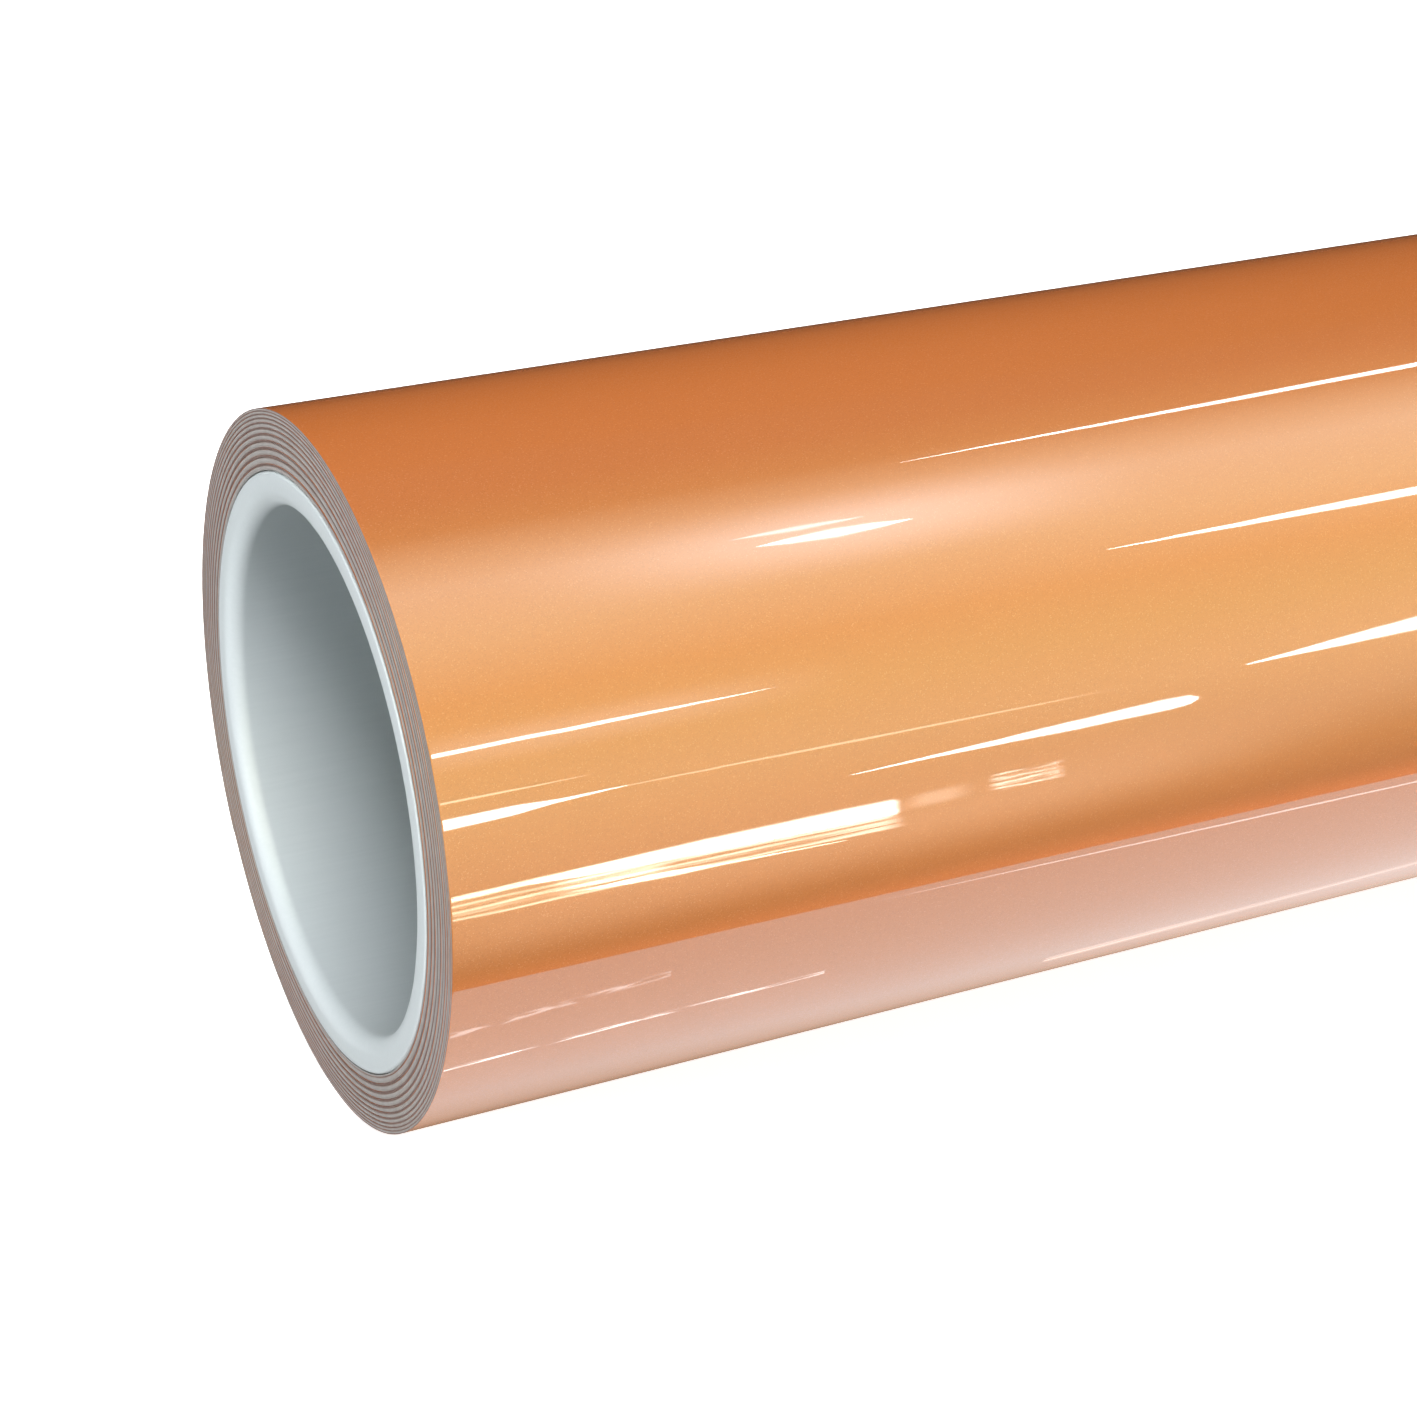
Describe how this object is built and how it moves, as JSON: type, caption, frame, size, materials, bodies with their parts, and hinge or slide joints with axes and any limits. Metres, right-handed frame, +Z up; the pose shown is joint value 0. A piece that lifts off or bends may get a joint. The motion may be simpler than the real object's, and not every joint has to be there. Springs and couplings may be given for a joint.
{
  "type": "wide copper foil tape roll",
  "caption": "Wide roll of glossy copper foil tape with a release liner, wound on an open white plastic core, lying on its side with a loose end at the back.",
  "frame": {"origin": "on the surface the roll lies on, under the middle of the core's axis", "axes": "+X along the core's axis, from the end that shows to the far end; +Y towards the back, where the loose end lies; +Z up"},
  "size_m": [0.305, 0.1047, 0.1042],
  "materials": {
    "core_plastic": "white moulded ABS, satin",
    "copper_foil": "bright rolled copper under a clear glossy lacquer with a fine metallic sparkle",
    "release_liner": "grey siliconed paper",
    "double_sided_tape": "thin double-sided tissue tape",
    "paper_tape": "cream paper tape, matt"
  },
  "bodies": {
    "roll": {"core_tube": "core_plastic", "core_start_tape": "double_sided_tape", "foil_winding": "copper_foil", "liner_winding": "release_liner"},
    "tail_1": {"foil_tail_1": "copper_foil", "liner_tail_1": "release_liner"},
    "tail_2": {"foil_tail_2": "copper_foil", "liner_tail_2": "release_liner"},
    "tail_3": {"foil_tail_3": "copper_foil", "liner_tail_3": "release_liner"},
    "tail_4": {"foil_tail_4": "copper_foil", "liner_tail_4": "release_liner"},
    "tail_5": {"foil_tail_5": "copper_foil", "liner_tail_5": "release_liner"},
    "tail_6": {"foil_tail_6": "copper_foil", "liner_tail_6": "release_liner", "closure_tab": "paper_tape"}
  },
  "joints": [
    {"name": "tail_lift_1", "type": "hinge", "parent": "roll", "child": "tail_1", "pos_m": [0, 0.02919, 0.09549], "axis": [1, 0, 0], "range_deg": [0, 15], "stiffness_Nm_per_rad": 0.03},
    {"name": "tail_lift_2", "type": "hinge", "parent": "tail_1", "child": "tail_2", "pos_m": [0, 0.03953, 0.08648], "axis": [1, 0, 0], "range_deg": [0, 15], "stiffness_Nm_per_rad": 0.03},
    {"name": "tail_lift_3", "type": "hinge", "parent": "tail_2", "child": "tail_3", "pos_m": [0, 0.0472, 0.07508], "axis": [1, 0, 0], "range_deg": [0, 15], "stiffness_Nm_per_rad": 0.03},
    {"name": "tail_lift_4", "type": "hinge", "parent": "tail_3", "child": "tail_4", "pos_m": [0, 0.05166, 0.06208], "axis": [1, 0, 0], "range_deg": [0, 15], "stiffness_Nm_per_rad": 0.03},
    {"name": "tail_lift_5", "type": "hinge", "parent": "tail_4", "child": "tail_5", "pos_m": [0, 0.0526, 0.04836], "axis": [1, 0, 0], "range_deg": [0, 15], "stiffness_Nm_per_rad": 0.03},
    {"name": "tail_lift_6", "type": "hinge", "parent": "tail_5", "child": "tail_6", "pos_m": [0, 0.04996, 0.03485], "axis": [1, 0, 0], "range_deg": [0, 15], "stiffness_Nm_per_rad": 0.03}
  ],
  "couplings": [
    {"joint": "tail_lift_2", "follows": "tail_lift_1", "ratio": 1},
    {"joint": "tail_lift_3", "follows": "tail_lift_1", "ratio": 1},
    {"joint": "tail_lift_4", "follows": "tail_lift_1", "ratio": 1},
    {"joint": "tail_lift_5", "follows": "tail_lift_1", "ratio": 1},
    {"joint": "tail_lift_6", "follows": "tail_lift_1", "ratio": 1}
  ]
}
